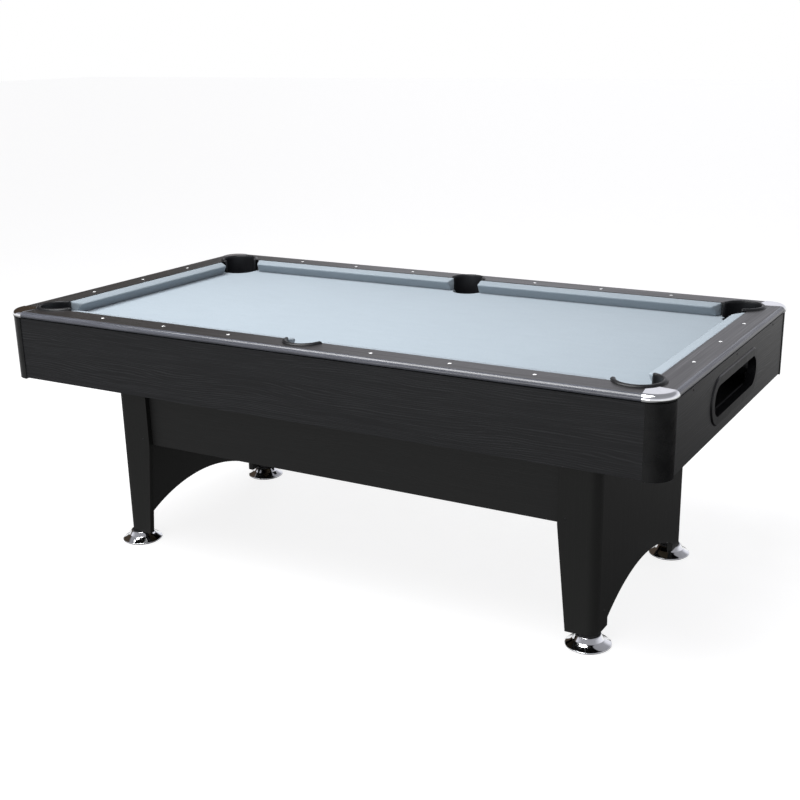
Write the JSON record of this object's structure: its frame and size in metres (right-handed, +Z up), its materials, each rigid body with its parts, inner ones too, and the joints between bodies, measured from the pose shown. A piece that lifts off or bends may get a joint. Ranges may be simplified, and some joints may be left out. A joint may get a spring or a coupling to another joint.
{
  "type": "pool table",
  "caption": "Pool table with black rails and aprons, grey cloth, a ball-return window at one end, panelled arched legs and chromed levelling feet.",
  "frame": {"origin": "on the floor under the middle of the table", "axes": "+Z up, +X along the table towards the ball-return window, +Y across the table"},
  "size_m": [2.14, 1.15, 0.804],
  "materials": {
    "rail_laminate": "satin black laminate over particle board",
    "apron_laminate": "black woodgrain laminate over particle board",
    "leg_laminate": "black laminate over particle board",
    "black_board": "black painted board",
    "bed_board": "raw particle board",
    "cloth": "napped grey cloth",
    "pocket_plastic": "moulded dark grey",
    "black_plastic": "smooth black",
    "chrome": "mirror",
    "sight_white": "white inlay",
    "screw_black": "black",
    "zinc_steel": "zinc plated",
    "pad_rubber": "black"
  },
  "bodies": {
    "table": {"rail_front": "rail_laminate", "rail_back": "rail_laminate", "rail_left_end": "rail_laminate", "rail_right_end": "rail_laminate", "corner_cap_front_left": "chrome", "corner_cap_front_right": "chrome", "corner_cap_back_left": "chrome", "corner_cap_back_right": "chrome", "rail_sights": "sight_white", "playfield_bed": "bed_board", "bed_cloth": "cloth", "cushion_front_right": "cloth", "cushion_front_left": "cloth", "cushion_back_right": "cloth", "cushion_back_left": "cloth", "cushion_left_end": "cloth", "cushion_right_end": "cloth", "pocket_liner_front_left": "pocket_plastic", "pocket_liner_front_side": "pocket_plastic", "pocket_liner_front_right": "pocket_plastic", "pocket_liner_back_left": "pocket_plastic", "pocket_liner_back_side": "pocket_plastic", "pocket_liner_back_right": "pocket_plastic", "apron_front": "apron_laminate", "apron_back": "apron_laminate", "apron_left_end": "apron_laminate", "apron_right_end": "apron_laminate", "window_bezel": "black_plastic", "corner_post_front_left": "black_plastic", "corner_post_front_right": "black_plastic", "corner_post_back_left": "black_plastic", "corner_post_back_right": "black_plastic", "ball_box": "black_board", "bed_frame_front": "black_board", "bed_frame_back": "black_board", "bed_beam_left": "black_board", "bed_beam_right": "black_board", "gully_front": "black_plastic", "gully_back": "black_plastic", "leg_side_front_left": "leg_laminate", "leg_side_front_right": "leg_laminate", "leg_side_back_left": "leg_laminate", "leg_side_back_right": "leg_laminate", "leg_end_panel_left": "leg_laminate", "leg_end_panel_right": "leg_laminate", "stretcher_front": "leg_laminate", "stretcher_back": "leg_laminate", "leg_corner_blocks": "black_board", "leg_insert_nuts": "zinc_steel", "rail_bolts": "zinc_steel", "steel_brackets": "zinc_steel", "panel_screws": "screw_black"},
    "foot_front_left": {"levelling_foot_front_left": "chrome"},
    "pad_front_left": {"foot_pad_front_left": "pad_rubber"},
    "foot_back_left": {"levelling_foot_back_left": "chrome"},
    "pad_back_left": {"foot_pad_back_left": "pad_rubber"},
    "foot_front_right": {"levelling_foot_front_right": "chrome"},
    "pad_front_right": {"foot_pad_front_right": "pad_rubber"},
    "foot_back_right": {"levelling_foot_back_right": "chrome"},
    "pad_back_right": {"foot_pad_back_right": "pad_rubber"}
  },
  "joints": [
    {"name": "foot_travel_front_left", "type": "slide", "parent": "table", "child": "pad_front_left", "axis": [0, 0, -1], "range_m": [0, 0.025]},
    {"name": "foot_turn_front_left", "type": "hinge", "parent": "pad_front_left", "child": "foot_front_left", "pos_m": [-0.8, -0.345, 0], "axis": [0, 0, -1], "range_deg": [0, 6000]},
    {"name": "foot_travel_back_left", "type": "slide", "parent": "table", "child": "pad_back_left", "axis": [0, 0, -1], "range_m": [0, 0.025]},
    {"name": "foot_turn_back_left", "type": "hinge", "parent": "pad_back_left", "child": "foot_back_left", "pos_m": [-0.8, 0.345, 0], "axis": [0, 0, -1], "range_deg": [0, 6000]},
    {"name": "foot_travel_front_right", "type": "slide", "parent": "table", "child": "pad_front_right", "axis": [0, 0, -1], "range_m": [0, 0.025]},
    {"name": "foot_turn_front_right", "type": "hinge", "parent": "pad_front_right", "child": "foot_front_right", "pos_m": [0.8, -0.345, 0], "axis": [0, 0, -1], "range_deg": [0, 6000]},
    {"name": "foot_travel_back_right", "type": "slide", "parent": "table", "child": "pad_back_right", "axis": [0, 0, -1], "range_m": [0, 0.025]},
    {"name": "foot_turn_back_right", "type": "hinge", "parent": "pad_back_right", "child": "foot_back_right", "pos_m": [0.8, 0.345, 0], "axis": [0, 0, -1], "range_deg": [0, 6000]}
  ],
  "couplings": [
    {"joint": "foot_travel_front_left", "follows": "foot_turn_front_left", "m_per_rad": 0.00023873},
    {"joint": "foot_travel_back_left", "follows": "foot_turn_back_left", "m_per_rad": 0.00023873},
    {"joint": "foot_travel_front_right", "follows": "foot_turn_front_right", "m_per_rad": 0.00023873},
    {"joint": "foot_travel_back_right", "follows": "foot_turn_back_right", "m_per_rad": 0.00023873}
  ]
}
